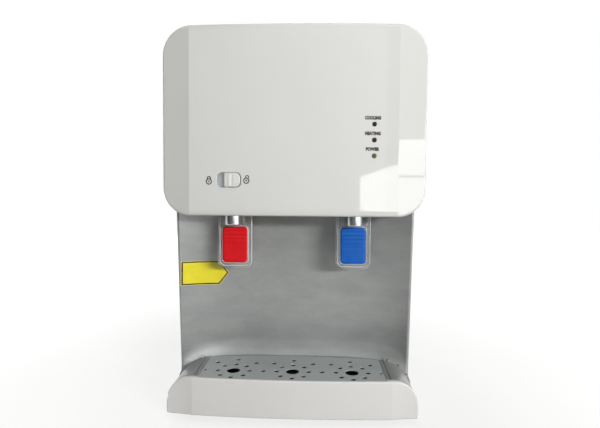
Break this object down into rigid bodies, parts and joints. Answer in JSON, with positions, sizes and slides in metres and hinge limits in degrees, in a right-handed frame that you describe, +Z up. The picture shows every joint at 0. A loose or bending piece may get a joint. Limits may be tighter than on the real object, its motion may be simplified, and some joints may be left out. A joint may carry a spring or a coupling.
{
  "type": "countertop water dispenser",
  "caption": "Countertop water dispenser for an upturned bottle, with hot and cold push taps over a drip tray, a child lock, indicator lamps and its inner cooling and heating parts.",
  "frame": {"origin": "centre of the footprint's box, on the surface that the feet stand on", "axes": "+Z up, the front faces -Y, +X to the right seen from the front"},
  "size_m": [0.31, 0.3364, 0.468],
  "materials": {
    "gloss_white": "glossy moulded",
    "silver_panel": "satin silver-grey",
    "grille_grey": "satin grey",
    "dark_plastic": "fine satin",
    "clear_plastic": "clear polished",
    "red_plastic": "glossy ribbed",
    "blue_plastic": "glossy ribbed",
    "chromed": "polished plating",
    "stainless": "brushed",
    "aluminium": "as extruded",
    "galvanised": "galvanised sheet",
    "rubber": "matt",
    "silicone": "smooth",
    "foam": "expanded foam",
    "felt": "fibre felt",
    "circuit_board": "solder mask",
    "ceramic": "ceramic plates",
    "yellow_film": "printed film",
    "lamp_green": "tinted lens, unlit",
    "lamp_red": "tinted lens, unlit",
    "lamp_yellow": "tinted lens, unlit"
  },
  "bodies": {
    "housing": {"base_pan": "gloss_white", "base_fascia": "gloss_white", "front_cover": "gloss_white", "left_side_panel": "gloss_white", "right_side_panel": "gloss_white", "back_panel": "gloss_white", "top_cover": "gloss_white", "front_bay_panel": "silver_panel", "hot_tap_nut": "dark_plastic", "cold_tap_nut": "dark_plastic", "fan_frame": "dark_plastic", "hot_thermostat": "dark_plastic", "power_inlet": "dark_plastic", "switch_bezel": "dark_plastic", "drain_outlet": "dark_plastic", "hot_tap_body": "chromed", "cold_tap_body": "chromed", "cold_tank": "stainless", "hot_tank": "stainless", "heater_band": "stainless", "hot_tap_pin": "stainless", "cold_tap_pin": "stainless", "hot_tap_spring": "stainless", "cold_tap_spring": "stainless", "cold_block": "aluminium", "heat_sink": "aluminium", "tank_shelf": "galvanised", "hot_tank_stand": "galvanised", "foot_front_left": "rubber", "foot_front_right": "rubber", "foot_rear_left": "rubber", "foot_rear_right": "rubber", "tank_separator": "silicone", "cold_hose": "silicone", "hot_hose": "silicone", "feed_hose": "silicone", "drain_hose": "silicone", "cold_tank_foam": "foam", "hot_tank_jacket": "felt", "lamp_board": "circuit_board", "power_board": "circuit_board", "peltier_module": "ceramic", "hot_marker": "yellow_film", "cooling_lamp": "lamp_green", "heating_lamp": "lamp_red", "power_lamp": "lamp_yellow"},
    "hot_paddle": {"hot_tap_paddle": "clear_plastic", "hot_tap_insert": "red_plastic"},
    "cold_paddle": {"cold_tap_paddle": "clear_plastic", "cold_tap_insert": "blue_plastic"},
    "hot_valve": {"hot_tap_stem": "silicone"},
    "cold_valve": {"cold_tap_stem": "silicone"},
    "child_lock": {"child_lock_slider": "gloss_white"},
    "hot_switch": {"hot_switch_rocker": "red_plastic"},
    "cold_switch": {"cold_switch_rocker": "dark_plastic"},
    "fan": {"fan_rotor": "dark_plastic"},
    "tray": {"drip_tray": "dark_plastic", "drip_grille": "grille_grey"},
    "seat": {"bottle_seat": "silicone"},
    "cap": {"drain_cap": "silicone"}
  },
  "joints": [
    {"name": "hot_paddle_push", "type": "hinge", "parent": "housing", "child": "hot_paddle", "pos_m": [-0.0734, -0.12405, 0.29], "axis": [1, 0, 0], "range_deg": [0, 12], "stiffness_Nm_per_rad": 0.12, "springref_deg": -8.59},
    {"name": "cold_paddle_push", "type": "hinge", "parent": "housing", "child": "cold_paddle", "pos_m": [0.0734, -0.12405, 0.29], "axis": [1, 0, 0], "range_deg": [0, 12], "stiffness_Nm_per_rad": 0.12, "springref_deg": -8.59},
    {"name": "hot_valve_press", "type": "slide", "parent": "housing", "child": "hot_valve", "axis": [0, 0, -1], "range_m": [0, 0.005], "deforming": ["hot_tap_spring"]},
    {"name": "cold_valve_press", "type": "slide", "parent": "housing", "child": "cold_valve", "axis": [0, 0, -1], "range_m": [0, 0.005], "deforming": ["cold_tap_spring"]},
    {"name": "child_lock_slide", "type": "slide", "parent": "housing", "child": "child_lock", "axis": [1, 0, 0], "range_m": [-0.0076, 0]},
    {"name": "hot_switch_rock", "type": "hinge", "parent": "housing", "child": "hot_switch", "pos_m": [0.107, 0.14865, 0.104], "axis": [1, 0, 0], "range_deg": [0, 15]},
    {"name": "cold_switch_rock", "type": "hinge", "parent": "housing", "child": "cold_switch", "pos_m": [0.085, 0.14865, 0.104], "axis": [1, 0, 0], "range_deg": [0, 15]},
    {"name": "fan_spin", "type": "hinge", "parent": "housing", "child": "fan", "pos_m": [0, 0.13465, 0.3467], "axis": [0, 1, 0], "continuous": true},
    {"name": "tray_lift", "type": "slide", "parent": "housing", "child": "tray", "axis": [0, 0, 1], "range_m": [0, 0.045]},
    {"name": "bottle_seat_lift", "type": "slide", "parent": "housing", "child": "seat", "axis": [0, 0, 1], "range_m": [0, 0.09]},
    {"name": "drain_cap_pull", "type": "slide", "parent": "housing", "child": "cap", "axis": [0, 1, 0], "range_m": [0, 0.025]}
  ],
  "couplings": [
    {"joint": "hot_valve_press", "follows": "hot_paddle_push", "m_per_rad": 0.022},
    {"joint": "cold_valve_press", "follows": "cold_paddle_push", "m_per_rad": 0.022}
  ]
}
